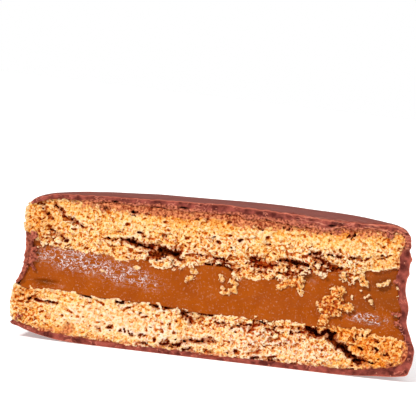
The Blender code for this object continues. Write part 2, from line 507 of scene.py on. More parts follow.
def clumps_of(node, clumps, seed):
    """Strokes round the middle of each clump: both ends and radius. A clump has its
    middle, how far it spreads each way, the number of strokes and the thickest radius."""
    low, size = face_of(node)
    rng = np.random.default_rng(seed)
    strokes_made = []
    for middle, spread_each_way, count, thickest in clumps:
        for _ in range(count):
            place = low + size * middle + rng.normal(0, 0.5, 2) * spread_each_way
            radius = thickest * rng.uniform(0.45, 1)
            lean = rng.normal(0, 0.8, 2) * radius
            strokes_made.append((*(place - lean), *(place + lean), radius))
    print(f"{node}: {len(strokes_made)} strokes in {len(clumps)} clumps")
    return strokes_made


# %% [markdown]
# ## The crumb
# A biscuit that is cut with a knife tears: whole grains stay on one side or the other,
# and the baked-in bubbles lie open as pores. So the face is not a plane with bumps but a
# pile of grains. The recipe, for one biscuit: take the layer between its joints, roughen
# its edges, end it at an uneven cut made of grains, and take away small pits, larger
# pores and cracks. A crack is a stroke on the face from one point to another, with its
# half width and how deep it goes, and it wanders a little on the way.

# %% Cracks
WIDER, SHALLOWER = 1.2, 0.8


def crack_field(grid, cracks, seed):
    """Distance inside the nearest crack, each of them narrowing as it goes deeper."""
    face = spread((grid[0], [0.0], grid[2]))
    face_x = face[0] + 0.5 * cloud(face, 1.5, seed) + 0.22 * cloud(face, 0.6, seed + 1)
    face_z = face[2] + 0.4 * cloud(face, 1.5, seed + 2) + 0.22 * cloud(face, 0.6, seed + 3)
    y = spread(grid)[1]
    best = np.full([len(axis) for axis in grid], -9.0, np.float32)
    for x0, z0, x1, z1, half_width, depth in cracks:
        dx, dz = x1 - x0, z1 - z0
        t = np.clip(((face_x - x0) * dx + (face_z - z0) * dz) / max(dx * dx + dz * dz, 1e-6), 0, 1)
        off = np.hypot(face_x - x0 - t * dx, face_z - z0 - t * dz)
        near = np.flatnonzero((off < 2).any((1, 2)))
        span = slice(near[0], near[-1] + 1)
        width = WIDER * half_width * (1 - (np.maximum(y, 0) / (SHALLOWER * depth)) ** 2)
        best[span] = np.maximum(best[span], width - off[span])
    return best


# %% The recipe for one biscuit
def stained_depth(x, z):
    """How far chocolate has soaked into the crumb: furthest under the top of the coat."""
    on_top = (1.15 * ease(x, -28, -22) * (1 - ease(x, 8, 13))
              + 0.75 * ease(x, 10, 14) * (1 - ease(x, 28, 30)))
    return 0.22 + on_top * ease(z, 20, 22) + 0.6 * ease(x, 29, 31) * (1 - ease(z, 7, 9))


def biscuit_shape(grid, floor, ceiling, cracks, coarse, toast, set_back, stain_and_shadow_spots, seed):
    """The field of a torn biscuit, and the fields that colour it, two of which are painted shade.
    coarse and toast are patches: how rough the face is beyond plain, and how brown it is baked.
    set_back says how far parts of the face stand behind the rest. The last patches are a chocolate
    stain and a painted shadow beside it."""
    places = spread(grid)
    x, y, z = places
    near = np.maximum(1 - ease(y, 0.8, 1.5), worn(x, y, z))
    thinned = np.maximum(-patches(x, z, DRIPS), 0) * np.exp(-np.maximum(y, 0) / 0.6)
    coat = inside_coat(x, y, z) + bulging(x, y, z) + ease(z, 20, 22) * soaked(x, y) + thinned
    layer = coat + 0.2
    if floor is not None:
        layer = np.minimum(layer, z - joint_height(floor, x, y))
    if ceiling is not None:
        layer = np.minimum(layer, joint_height(ceiling, x, y) - z)
    clumpy = patches(x, z, coarse)
    rough = np.maximum(0.55 + clumpy + 0.3 * cloud(places, 2.4, seed + 13), 0.2)
    bent = (x + 0.3 * cloud(places, 0.8, seed + 14), y, z + 0.3 * cloud(places, 0.7, seed + 15))
    edge, height = grains_of(bent, (0.6, 0.7, 0.5), seed)
    clump_edge, clump_height = grains_of(bent, (1.7, 1.6, 1.2), seed + 1)
    fine = puffs(places, (0.4, 0.4, 0.33), seed + 2)
    dust = cloud(places, 0.3, seed + 3)
    broad = cloud(places, (3.4, 9, 2.2), seed + 4)
    parted = ease(cloud(places, 2.6, seed + 5), -0.35, 0.25) * np.clip(clumpy, 0, 1)
    gaps = parted * (1 - ease(clump_edge + 0.15 * fine, 0.05, 0.5))
    lumps = (rough * (0.22 * height - 0.20 * (1 - ease(edge, 0, 0.3)) + 0.14 * fine) + 0.13 * dust
             + np.clip(clumpy, 0, 1) * 0.4 * clump_height)
    relief = np.minimum(lumps, 0.7) - 1.2 * gaps
    ragged = (layer + near * (np.minimum(lumps, 0.7) - 0.4 * gaps
                              + 0.3 * cloud(places, 1.3, seed + 6))
              - 0.5 * ease(y, 4, 8))
    behind = patches(x, z, set_back)
    face = y - 0.25 - 0.18 * rough * broad - behind + relief
    pits = (0.5 * (cloud(places, (0.5, 0.5, 0.4), seed + 7) - 0.50 + 0.20 * rough) + 0.1 * dust
            - 1.1 * np.maximum(y - 0.35, 0))
    pores = (0.5 * (cloud(places, (1.2, 0.9, 0.7), seed + 8) - 0.70 + 0.17 * rough) + 0.1 * fine
             - 0.4 * np.maximum(y - 0.5, 0))
    broken_sides = np.maximum(0.28 * height + 0.32 * fine + 0.2 * dust, -0.22)
    cracked = crack_field(grid, cracks, seed + 9)
    holes = cracked + broken_sides
    away = np.maximum(np.maximum(pits, pores), holes)
    field = np.minimum(np.minimum(ragged, face), -away)
    # Painted shade: the share of solid round each point is high in pits and hollows, where the
    # material paints the crumb darker and more orange.
    solid = blur((field > 0).astype(np.float32), max(round(0.4 / VOXEL), 1))
    reach = stained_depth(x, z) * (1 + 0.4 * cloud(places, 1.6, seed + 12))
    stain_and_shadow = 1 - ease(coat + 0.5 * height + 0.35 * fine, reach - 0.25, reach + 0.25)
    bare = worn(x, y, z)
    # The given spots are a chocolate stain and, at its lower left, a painted shadow, both in the
    # stain colour.
    spot_stain_and_shadow = 0.8 * ease(patches(x, z, stain_and_shadow_spots) + 0.2 * fine, 0.1, 0.9)
    stain_and_shadow = np.maximum(stain_and_shadow * (1 - bare), spot_stain_and_shadow)
    bare_side = bare * (1 - ease(coat, 0.6, 1.6))
    # Painted shade: the crumb is painted brown deep behind the cut and on the walls of cracks, but
    # not on the bare sides of flaked spots.
    in_crack = ease(cracked + 0.1 * fine, -0.2, 0.05) * ease(y, 0.2, 0.7)
    depth_shade = (np.maximum(ease(y - 0.2 * broad - 0.8 * behind, 0.5, 1.8), 0.4 * in_crack)
            * (1 - bare_side))
    baked = 0.5 + patches(x, z, toast) + 0.16 * broad + 0.14 * height
    return field, {"hollow_shade": solid, "depth_shade": depth_shade, "stain_and_shadow": stain_and_shadow, "toast": baked, "rough": rough}


# %% Upper biscuit
UPPER_RUNS = (  # start, end, number of cracks, share that is open, half width, depth
    ((0.02, 0.85), (0.05, 0.6), 3, 0.9, 0.33, 1.5),  # three rows down the left end
    ((0.05, 0.85), (0.15, 0.45), 5, 0.8, 0.33, 1.6),
    ((0.05, 0.4), (0.1, 0.2), 3, 0.8, 0.34, 1.7),
    ((0.2, 0.35), (0.35, 0.3), 4, 0.7, 0.36, 1.9),  # the long tear left of the middle
    ((0.25, 0.35), (0.35, 0.2), 1, 0.7, 0.5, 3.0),
    ((0.35, 0.3), (0.4, 0.2), 1, 0.9, 0.5, 2.6),
    ((0.45, 0.3), (0.55, 0.15), 3, 0.7, 0.28, 1.5),
    ((0.6, 0.25), (0.75, 0.3), 4, 0.7, 0.38, 2.2),  # the tear right of the middle
    ((0.6, 0.25), (0.65, 0.15), 1, 0.9, 0.42, 2.2),
    ((0.15, 0.85), (0.9, 0.85), 9, 0.12, 0.26, 1.4),  # pits under the chocolate
    ((0.2, 0.5), (0.8, 0.55), 9, 0.12, 0.28, 1.4),  # pits at mid height
    ((0.3, 0.15), (0.75, 0.05), 6, 0.2, 0.33, 1.7),  # pits over the filling
    ((0.75, 0.55), (0.9, 0.5), 3, 0.6, 0.28, 1.7),  # the right end
    ((0.75, 0.5), (0.85, 0.25), 4, 0.7, 0.32, 1.7),
    ((0.9, 0.5), (0.97, 0.6), 2, 0.6, 0.17, 1.0),
)
UPPER_CRACKS = torn_runs("upper_biscuit", UPPER_RUNS, 11)
UPPER_COARSE = ((-25, 17.0, 7, 2.6, 0.42), (-10, 16.6, 8, 2.2, 0.75), (5, 16.4, 9, 2.2, 0.85),
                (19, 17.8, 7, 2.2, 0.9), (-30, 20, 4, 4, 0.15), (-12, 22.4, 9, 1.6, -0.25),
                (6, 22.4, 9, 1.4, -0.25), (23, 22.8, 7, 1.4, -0.25), (-5, 20.5, 34, 2.6, 0.12))
UPPER_TOAST = ((-31, 20, 3.5, 5, 0.25), (-8, 23.4, 14, 0.9, 0.35), (20, 24.0, 10, 0.9, 0.35),
               (31, 22, 1.5, 5, 0.3), (14, 18, 10, 1.6, 0.1), (-14, 20.5, 5, 1.5, -0.2),
               (22, 21.8, 6, 1.5, -0.2), (-24, 20.0, 4, 1.5, -0.15), (2, 20.5, 7, 1.2, -0.15))
grid = make_grid((-34.6, 13.0), (32.6, 26.6), 33.5)
field, looks = biscuit_shape(grid, UPPER_JOINT, None, UPPER_CRACKS, UPPER_COARSE, UPPER_TOAST,
                             (), (), 10)
upper_biscuit = food_mesh("upper_biscuit_crumb", grid, field, looks)

# %% Lower biscuit
LOWER_RUNS = (  # start, end, number of cracks, share that is open, half width, depth
    ((0.15, 0.95), (0.5, 0.85), 8, 0.55, 0.32, 1.8),  # along the joint with the filling
    ((0.43, 0.8), (0.45, 0.6), 1, 0.9, 0.5, 2.2),
    ((0.02, 0.7), (0.12, 0.7), 2, 0.7, 0.31, 1.6),
    ((0.2, 0.3), (0.4, 0.1), 7, 0.2, 0.28, 1.2),  # pits that lead down to the long tear
    ((0.4, 0.1), (0.5, 0.25), 4, 0.85, 0.38, 2.0),  # the long tear at the middle
    ((0.5, 0.6), (0.6, 0.65), 2, 0.6, 0.23, 1.3),
    ((0.6, 0.75), (0.75, 0.75), 3, 0.6, 0.26, 1.5),
    ((0.7, 0.6), (0.75, 0.7), 1, 0.9, 0.27, 1.5),
    ((0.3, 0.03), (0.7, 0.03), 7, 0.35, 0.28, 1.5),  # along the bottom
    ((0.75, 0.8), (0.85, 0.4), 6, 1.2, 0.55, 3.2),  # the void on the right
    ((0.85, 0.27), (0.91, 0.18), 3, 1.0, 0.4, 2.8),
    ((0.87, 0.55), (0.97, 0.4), 3, 0.4, 0.28, 1.5),
)
LOWER_CRACKS = torn_runs("lower_biscuit", LOWER_RUNS, 31)
LOWER_COARSE = ((26, 5, 8, 6, 0.3), (-32, 5, 3, 5, 0.4), (6, 6.6, 12, 1.4, 0.8),
                (-18, 4, 12, 2.6, -0.35), (5, 3.0, 8, 1.4, 0.25), (11, 4.8, 7, 1.6, 0.35))
LOWER_TOAST = ((27, 5, 7, 6, 0.52), (19, 8, 5, 1.5, 0.3), (-32, 4, 3, 5, 0.45),
               (-12, 9.0, 22, 1.0, 0.25), (-17, 4.4, 13, 2.6, -0.6), (6, 3.6, 10, 2.4, -0.5),
               (18.5, 3.0, 5, 1.9, -0.6), (-27.5, 1.6, 3.5, 1.2, 0.4), (-24.5, 2.6, 1.2, 1.0, 0.3),
               (-5.6, 5.6, 0.6, 1.5, 0.9), (-6.2, 1.6, 0.9, 0.6, 0.7))
# A brown stain of chocolate, and a painted shadow at its lower left.
STAIN_AND_SHADOW_SPOTS = ((-24.4, 2.3, 1.1, 1.1, 1.0), (-25.6, 1.5, 0.9, 0.4, 0.7))
LEDGES = ((-2.6, 4.5, 2.6, 3.2, 0.65), (-7.5, 4.5, 2.2, 3.0, -0.25), (-24.5, 2.6, 1.0, 0.8, 0.4),
          (21.0, 5.2, 1.9, 1.1, 0.8), (24.5, 2.6, 1.8, 0.6, 0.5))
grid = make_grid((-35.0, 0.2), (34.8, 9.8), 34.8)
field, looks = biscuit_shape(grid, None, LOWER_JOINT, LOWER_CRACKS, LOWER_COARSE, LOWER_TOAST,
                             LEDGES, STAIN_AND_SHADOW_SPOTS, 30)
lower_biscuit = food_mesh("lower_biscuit_crumb", grid, field, looks)

# %% [markdown]
# ## The dulce de leche
# Dulce de leche is stiff enough to stand in a cut, and the knife leaves it smooth but
# finely wrinkled. It shrinks back a little from the face, so crumbs overhang it. The
# same field method gives it broad dents, a fold, and wrinkles that are strongest where
# the knife pulled at it.

# %% Filling
WRINKLED = ((-25.0, 14.2, 6.5, 1.9, 1.0), (-15.5, 12.6, 4.5, 1.6, 0.75), (-20, 11.0, 9, 1.6, 0.12),
            (26.3, 10.0, 2.8, 0.75, 1.8), (-11, 11.2, 2.5, 1.2, 0.4), (8, 11, 16, 3.5, 0.14))
DENTS = ((27.5, 14.5, 5.0, 4.5, 0.7), (-29.0, 9.7, 2.6, 0.5, 0.8), (15.0, 16.0, 2.0, 1.2, 0.8),
         (-28.5, 16.3, 2.5, 0.8, 0.3), (22.5, 10.6, 2.0, 1.4, 0.35), (26.3, 10.0, 2.8, 0.8, -0.5))
grid = make_grid((-34.4, 6.0), (32.8, 20.2), 33.5)
places = spread(grid)
x, y, z = places
layer = np.minimum(inside_coat(x, y, z) + 0.1,
                   np.minimum(z - joint_height(LOWER_JOINT, x, y) + 0.35,
                              joint_height(UPPER_JOINT, x, y) + 0.4 - z))
# The pulled patches also say where the material paints highlights.
pulled = patches(x, z, WRINKLED)
# The dips are also painted darker in the material, as painted shade.
dip = patches(x, z, DENTS) + 0.2 * cloud(places, (4.0, 9, 2.2), 50)
creases = puffs(places, (0.75, 3, 0.42), 52) + 0.6 * puffs(places, (0.4, 2, 0.3), 53)
field = np.minimum(layer, y - 0.55 - dip - 0.05 * cloud(places, (1.4, 4, 0.9), 51)
                   + (0.02 + 0.11 * pulled) * creases)
filling = food_mesh("dulce_de_leche_layer", grid, field, {"dip": dip, "pulled": pulled})

# %% [markdown]
# ## Crumbs on the filling
# The knife drags crumbs down from the upper biscuit and presses them into the sticky
# face. Each is a short stroke with rounded ends that the same lumpy noise breaks up, and
# a clump is several strokes close together.

# %% Loose crumbs
CLUMPS = (  # middle, spread each way in millimetres, number of strokes, thickest radius
    ((0.8, 0.4), (2.0, 2.6), 14, 0.95),  # the large clump that slid down the filling
    ((0.7, 0.6), (2.2, 1.0), 5, 0.75),
    ((0.4, 0.6), (2.6, 1.6), 7, 0.5),
    ((0.55, 0.5), (4.0, 2.4), 7, 0.45),
    ((0.9, 0.6), (6.0, 2.6), 12, 0.35),
    ((0.85, 0.8), (5.0, 0.8), 7, 0.45),  # crumbs that hang under the upper biscuit
    ((0.25, 0.5), (14.0, 3.0), 4, 0.4),
    ((0.98, 0.6), (0.4, 5.0), 6, 0.3),
    ((0.04, 0.8), (1.0, 1.0), 2, 0.35),
)
CRUMBS = clumps_of("dulce_de_leche", CLUMPS, 60)


INTO_COAT = 0.4  # how far a stroke may reach into the coat, so that none sticks out of it
CRUMB_DEPTH, BIT_DEPTH = 0.55, 0.2  # how far behind the cut the middles of strokes lie
CRUMB_POINTS, BIT_POINTS = 30, 150  # the smallest crumb and the smallest bit that are kept


def strokes(grid, ends, depth, seed):
    """The field of broken strokes with their middles at this depth, and the random value
    of each grain in them."""
    places = spread(grid)
    x, y, z = places
    field = np.full([len(axis) for axis in grid], -9.0, np.float32)
    for x0, z0, x1, z1, radius in ends:
        along = np.clip(((x - x0) * (x1 - x0) + (z - z0) * (z1 - z0))
                        / max((x1 - x0) ** 2 + (z1 - z0) ** 2, 1e-6), 0, 1)
        gap = np.sqrt((x - x0 - along * (x1 - x0)) ** 2 + (z - z0 - along * (z1 - z0)) ** 2
                      + (y - depth) ** 2)
        field = np.maximum(field, radius - gap)
    edge, height = grains_of(places, 0.65, seed)
    broken = 0.22 * puffs(places, 0.36, seed + 1) + 0.2 * cloud(places, 0.3, seed + 2)
    field = field + 0.14 * height - 0.16 * (1 - ease(edge, 0, 0.3)) + broken
    return np.minimum(field, inside_coat(x, y, z) + INTO_COAT), height


grid = make_grid((-32, 8), (32, 19), 1.7, fine=1.7)
field, height = strokes(grid, CRUMBS, CRUMB_DEPTH, 60)
# Painted shade from hollowness, as in the biscuits; the shade for depth is left out.
solid = blur((field > 0).astype(np.float32), max(round(0.4 / VOXEL), 1))
looks = {"hollow_shade": solid + 0.14, "depth_shade": 0.0, "stain_and_shadow": 0.12, "toast": 0.6 + 0.1 * height,
         "rough": 0.7}
crumbs = food_mesh("loose_crumbs", grid, field, looks, CRUMB_POINTS)

# %% [markdown]
# ## The chocolate shell
# The coat is two sheets of points, its outside and its inside, with one row for each
# step round the half turn. A shell made in this way keeps its thickness everywhere and
# its outside stays smooth, which a field on a grid would not. The steps are close
# together beside the cut and far apart at the back. Enrobed chocolate sets in faint
# waves, and its inner face follows the crumb, so both sheets get some noise.

# %% Sheets of the shell
STEPS_BESIDE_CUT = np.array([0, .15, .15, .2, .2, .25, .3, .35, .4, .5, .6, .7, .8, .9, 1.0, 1.2])
WIDE_STEPS = 16
near_turns = np.cumsum(STEPS_BESIDE_CUT) / RIGHT[:, 0].max()
quarter = np.concatenate([near_turns, np.linspace(near_turns[-1], math.pi / 2, WIDE_STEPS)[1:]])
TURNS = np.concatenate([quarter, math.pi - quarter[-2::-1]])
LINES = [coat_line((1 - math.cos(turn)) / 2) for turn in TURNS]


def sheet(inwards):
    """Points of a sheet that lies this far inside the coat's outline."""
    rows = []
    for turn, line, reach in zip(TURNS, LINES, inwards):
        bare_line = np.column_stack([line[:, :2], np.zeros(len(line))])
        r, z = inset(bare_line, reach).T
        rows.append(np.column_stack([r * swell(turn) * math.cos(turn),
                                     r * swell(turn) * math.sin(turn), z]))
    return np.array(rows)


BUMPS = ((33.5, 1.5, 1, 0.5, 0.3), (-34, 2.5, 1, 0.6, 0.45), (32, 21, 1.5, 0.5, 0.3),
         (32, 22.5, 1.5, 0.4, -0.3), (32, 18.5, 1.5, 0.5, 0.2))  # patches that stand out
plain = sheet(np.zeros((len(TURNS), len(LINES[0]))))
x, y, z = np.moveaxis(plain, 2, 0)
waves = 0.10 * cloud((x, y, z), (7, 7, 4), 70) + 0.05 * cloud((x, y, z), (2.6, 2.6, 1.8), 71)
waves = waves * (0.35 + 0.65 * ease(y, 0, 4)) * ease(z, 0.2, 2.0)
chipped = np.maximum(ease(z, 20, 24), 1.8 * ease(-x, 25, 30) * ease(z, 2, 4))
nicks = 0.12 * puffs((x, y, z), 0.75, 72) * np.exp(-y / 0.35) * chipped
scuffed_skin = ease(x, 9, 13) * ease(z, 25, 25.6) * ease(-y, -12, -2)
ripples = 0.22 * puffs((x, y, z), (2.6, 0.45, 0.4), 78) * scuffed_skin
bumps = patches(x, z, BUMPS) * np.exp(-y / 1.5)
outside = sheet(nicks + ripples - waves - bumps)

THINNEST = 0.22  # millimetres of chocolate that are left where none has flaked off
full = np.array([line[:, 2] for line in LINES])
scuffs_and_sheen = top_right(x, z)
uneven = (0.24 * cloud((x, y, z), 3.0, 73) + (0.16 + 0.2 * scuffs_and_sheen) * cloud((x, y, z), 1.3, 74)
          + (0.18 + 0.2 * scuffs_and_sheen) * cloud((x, y, z), 0.6, 75)
          + patches(x, z, DRIPS)) * np.exp(-y / 0.6)
thickness = (full + uneven - soaked(x, y) * ease(z, 20, 22)) * (1 - 0.75 * worn(x, y, z))
inside = sheet(np.maximum(thickness, THINNEST))
print(f"shell of {outside.shape[0]} steps and {outside.shape[1]} points each, "
      f"{thickness.min():.2f} to {thickness.max():.2f} mm thick")

# %% [markdown]
# ## Closing the shell
# A cell of the sheets that belongs to a flaked spot is left out of both. Every open
# border, at the cut and round the flakes, is then closed by a wall across the thickness.
# On the cut this wall is the broken edge of the chocolate: a little proud in the middle,
# grainy, with a few holes where air was trapped.

# %% The broken edge
WALL = 12  # steps across the thickness
RIM_SHARE = 0.13  # the part of the thickness that gets a painted highlight along the outer rim
HOLE_HALF_LENGTH = (0.3, 0.8)  # shortest and longest, as the knife has drawn the holes out
HOLE_HALF_HEIGHT, HOLE_DEPTH = 0.16, 0.7


def air_holes(count, reach, seed):
    """Flat holes, one in each stretch of the thick band of chocolate along the top."""
    rng = np.random.default_rng(seed)
    ridge = np.vstack([LEFT[-5:] * (-1, 1, 1), RIGHT[-2:-6:-1]])
    ends = np.linspace(-reach, reach, count + 1)
    holes = []
    for x in rng.uniform(ends[:-1], ends[1:]):
        height, thick = (np.interp(x, ridge[:, 0], ridge[:, column]) for column in (1, 2))
        across = thick * rng.uniform(0.35, 0.75)
        half_length = rng.uniform(*HOLE_HALF_LENGTH)
        holes.append((x, height - across, half_length, HOLE_HALF_HEIGHT, HOLE_DEPTH))
    return holes


AIR_HOLES = air_holes(count=3, reach=24, seed=83)


def crumbly(x, y, z, across):
    """How torn the broken chocolate is: most at the left end, and over the crumb on top."""
    wander = 0.15 * cloud((x, y, z), 1.2, 80) + 0.2 * cloud((x, y, z), 4.0, 81)
    over_crumb = ease(across + wander, 0.58, 0.75) * ease(z, 22, 23.5) * ease(x, -26, -22)
    return np.maximum(over_crumb, 0.35 * ease(-x, 31, 32.5) * ease(z, 7, 9) * (1 - ease(z, 21, 23)))


def broken_edge(outer, inner, across):
    """A point of the wall, this share of the way across the thickness."""
    place = outer + (inner - outer) * across
    x, y, z = place.T
    on_cut = 1 - ease(y, 0.1, 0.4)
    torn = crumbly(x, y, z, across)
    grain = ((0.08 + 0.2 * torn) * puffs((x, y, z), 0.7, 76)
             + (0.06 + 0.12 * torn) * cloud((x, y, z), 0.35, 77)
             + 0.25 * top_right(x, z) * puffs((x, y, z), (1.6, 0.6, 0.4), 79))
    proud = -0.09 * (1 - (2 * across - 1) ** 4) * (1 - 0.6 * torn)
    place[:, 1] += (proud + grain * np.sin(math.pi * across) + patches(x, z, AIR_HOLES)) * on_cut
    return place


# %% Build the shell
def borders_of(loops):
    """The edges that only one of the loops uses, in the loop's own direction."""
    border = {}
    for loop in loops:
        for a, b in zip(loop, loop[1:] + loop[:1]):
            if (b, a) in border:
                del border[b, a]
            else:
                border[a, b] = True
    return list(border)


def build_shell(name):
    rows, columns = outside.shape[:2]
    count = rows * columns
    number = np.arange(count).reshape(rows, columns)
    number[:, 0] = number[0, 0]  # the two ends of every section are single points
    number[:, -1] = number[0, -1]
    lost = flaked(*np.moveaxis(outside, 2, 0)) > 0
    kept = ~(lost[:-1, :-1] | lost[1:, :-1] | lost[:-1, 1:] | lost[1:, 1:])
    loops = [list(dict.fromkeys((number[j, k], number[j, k + 1],
                                 number[j + 1, k + 1], number[j + 1, k])))
             for j, k in zip(*np.nonzero(kept))]
    faces = loops + [[corner + count for corner in reversed(loop)] for loop in loops]
    border = borders_of(loops)
    rim = sorted({corner for edge in border for corner in edge})
    place_of = {corner: i for i, corner in enumerate(rim)}
    outer, inner = outside.reshape(-1, 3), inside.reshape(-1, 3)
    points, shares = [outer, inner], [np.full(2 * count, -1.0)]
    shares[0][rim] = 0
    shares[0][np.array(rim) + count] = 1
    for step in range(1, WALL):
        points.append(broken_edge(outer[rim], inner[rim], step / WALL))
        shares.append(np.full(len(rim), step / WALL))

    def corner_at(corner, step):
        if step == 0:
            return corner
        if step == WALL:
            return corner + count
        return 2 * count + (step - 1) * len(rim) + place_of[corner]

    for a, b in border:
        for step in range(WALL):
            faces.append([corner_at(a, step), corner_at(a, step + 1),
                          corner_at(b, step + 1), corner_at(b, step)])
    points = np.vstack(points)
    shares = np.concatenate(shares)
    mesh = bpy.data.meshes.new(name)
    mesh.from_pydata((points + (0, CUT_Y, 0)) * MM, [], faces)
    x, y, z = points.T
    # The air holes are painted nearly black inside, as painted shade.
    air = np.clip(patches(x, z, AIR_HOLES) * 2, 0, 1) * (y < 1.2)
    # The rim share places a painted highlight along the outer edge of the broken chocolate.
    looks = {"cut_face": shares >= 0, "rim": (shares >= 0) * np.clip(1 - shares / RIM_SHARE, 0, 1),
             "painted_hole_shade": air * (shares >= 0), "torn": crumbly(x, y, z, shares) * (shares >= 0),
             # The top right mask places painted highlights.
             "scuffs_and_sheen": ease(x, 8, 16) * ease(z, 22, 24) * ease(-y, -12, -1)}
    for label, values in looks.items():
        layer = mesh.attributes.new(label, "FLOAT", "POINT")
        layer.data.foreach_set("value", values.astype(np.float32))
    shell = bpy.data.objects.new(name, mesh)
    bpy.context.scene.collection.objects.link(shell)
    return shell


def tidy(piece, angle):
    """Drops unused points, turns faces outwards and marks sharp edges."""
    bm = bmesh.new()
    bm.from_mesh(piece.data)
    bmesh.ops.delete(bm, geom=[v for v in bm.verts if not v.link_faces], context="VERTS")
    bmesh.ops.recalc_face_normals(bm, faces=bm.faces)
    open_edges = sum(not e.is_manifold for e in bm.edges)
    bm.to_mesh(piece.data)
    bm.free()
    piece.data.shade_smooth()
    piece.data.set_sharp_from_angle(angle=math.radians(angle))
    print(f"{piece.name}: {triangles(piece)} triangles, {open_edges} open edges")


shell = build_shell("chocolate_shell")
tidy(shell, 60)

# %% [markdown]
# ## Bits of chocolate
# The knife also breaks small bits off the brittle coat. They stick to the torn left end,
# where the filling is, and a curl of the coat has been pushed inwards on the right.

# %% Chocolate bits
BITS = (  # middle, spread each way in millimetres, number of strokes, thickest radius
    ((0.035, 0.5), (0.8, 8.0), 7, 0.5),  # down the left wall
    ((0.02, 0.1), (0.5, 1.0), 2, 0.4),
    ((0.95, 0.65), (0.8, 2.0), 4, 0.45),  # the curl at the right end
    ((0.95, 0.5), (0.3, 5.0), 3, 0.35),
    ((0.75, 0.92), (16.0, 0.8), 4, 0.35),  # under the top edge
)
CHOCOLATE_BITS = clumps_of("chocolate_coat", BITS, 65)
grid = make_grid((-35, 1.5), (33, 26), 1.7, fine=1.7)
field, height = strokes(grid, CHOCOLATE_BITS, BIT_DEPTH, 65)
chocolate_bits = food_mesh("chocolate_bits", grid, field, {"height": height}, BIT_POINTS)

# %% [markdown]
# ## Helpers for shaders
# A material is a small network of nodes. These helpers add a node and feed its sockets,
# and turn a colour as it looks on a screen into the linear numbers that a shader needs.

# %% Shader helpers
def new_material(name):
    material = bpy.data.materials.new(name)
    material.use_nodes = True
    return material, material.node_tree, material.node_tree.nodes["Principled BSDF"]


def feed(tree, socket, value):
    """Links another node's output to a socket, or sets a plain value on it."""
    if isinstance(value, bpy.types.NodeSocket):
        tree.links.new(value, socket)
    else:
        socket.default_value = value


def add(tree, kind, inputs=None, **settings):
    """A new node with its settings, and its inputs by name or number."""
    node = tree.nodes.new(kind)
    for key, value in settings.items():
        setattr(node, key, value)
    for key, value in (inputs or {}).items():
        feed(tree, node.inputs[key], value)
    return node


def tone(red, green, blue):
    """A colour as it looks on a screen, from 0 to 255, in linear numbers for a shader."""
    linear = [((c / 255 + 0.055) / 1.055) ** 2.4 if c > 10 else c / 255 / 12.92
              for c in (red, green, blue)]
    return (*linear, 1)


def attribute(tree, name):
    return add(tree, "ShaderNodeAttribute", attribute_name=name).outputs["Fac"]


def maths(tree, operation, a, b=0.0, clamp=False):
    return add(tree, "ShaderNodeMath", {0: a, 1: b},
               operation=operation, use_clamp=clamp).outputs[0]


def between(tree, value, low, high):
    """0 where the value is below low, 1 above high and smooth between them."""
    node = add(tree, "ShaderNodeMapRange", {"Value": value, "From Min": low, "From Max": high},
               interpolation_type="SMOOTHSTEP")
    return node.outputs["Result"]


def mix(tree, share, a, b, blend="MIX"):
    """Colour a turned into colour b by this share."""
    node = add(tree, "ShaderNodeMix", data_type="RGBA", blend_type=blend)
    for number, value in ((0, share), (6, a), (7, b)):
        feed(tree, node.inputs[number], value)
    return node.outputs[2]


def times(tree, a, b):
    return maths(tree, "MULTIPLY", a, b)


def finish(look, colour, normal, pieces, roughness, gloss):
    """Ends a material: its colour and relief, its plain values, and the pieces it is for."""
    material, tree, shader = look
    feed(tree, shader.inputs["Base Color"], colour)
    feed(tree, shader.inputs["Normal"], normal)
    shader.inputs["Roughness"].default_value = roughness
    shader.inputs["Specular IOR Level"].default_value = gloss
    for piece in pieces:
        piece.data.materials.append(material)


def ramp(tree, value, stops):
    """A row of colours along a value from 0 to 1."""
    node = add(tree, "ShaderNodeValToRGB", {"Fac": value})
    elements = node.color_ramp.elements
    while len(elements) < len(stops):
        elements.new(0.5)
    for element, (place, colour) in zip(elements, stops):
        element.position = place
        element.color = colour
    return node.outputs["Color"]


# %% [markdown]
# ## Effects that the foods share
# Six small node groups are built once and placed in the materials, each time with other values: a
# fine relief, a mottle of two tones, pits, scattered specks, thin broken lines and long smears. The
# pits give painted shade, and the long smears and some of the broken lines give painted highlights.
# Their sizes are in millimetres, and a helper makes them a scale.

# %% Building a group
FLOAT, COLOUR, VECTOR = "NodeSocketFloat", "NodeSocketColor", "NodeSocketVector"


def new_group(name, inputs, outputs):
    """An empty shader group with named inputs, each with its usual value, and outputs."""
    group = bpy.data.node_groups.new(name, "ShaderNodeTree")
    for label, kind, value in inputs:
        socket = group.interface.new_socket(name=label, in_out="INPUT", socket_type=kind)
        socket.default_value = value
    for label, kind in outputs:
        group.interface.new_socket(name=label, in_out="OUTPUT", socket_type=kind)
    return (group, group.nodes.new("NodeGroupInput").outputs,
            group.nodes.new("NodeGroupOutput").inputs)


def texture(tree, kind, size, inputs=None, **settings):
    """A texture in the object's own space whose features are this many millimetres wide."""
    coordinates = add(tree, "ShaderNodeTexCoord").outputs["Object"]
    scale = maths(tree, "DIVIDE", 1 / MM, size)
    fed = {"Vector": coordinates, "Scale": scale, **(inputs or {})}
    return add(tree, kind, fed, **settings).outputs


def use(tree, group, **values):
    """Places a group in a material with its own values."""
    node = add(tree, "ShaderNodeGroup", node_tree=group)
    for label, value in values.items():
        feed(tree, node.inputs[label.replace("_", " ")], value)
    return node.outputs


# %% Fine relief and mottle
RELIEF, given, made = new_group("fine_relief", (("Grain", FLOAT, 0.3), ("Strength", FLOAT, 0.4)),
                                (("Normal", VECTOR),))
grain = texture(RELIEF, "ShaderNodeTexNoise", given["Grain"], {"Detail": 3.0})["Fac"]
bump = add(RELIEF, "ShaderNodeBump", {"Height": grain, "Strength": given["Strength"],
                                      "Distance": 0.1 * MM})
feed(RELIEF, made["Normal"], bump.outputs["Normal"])

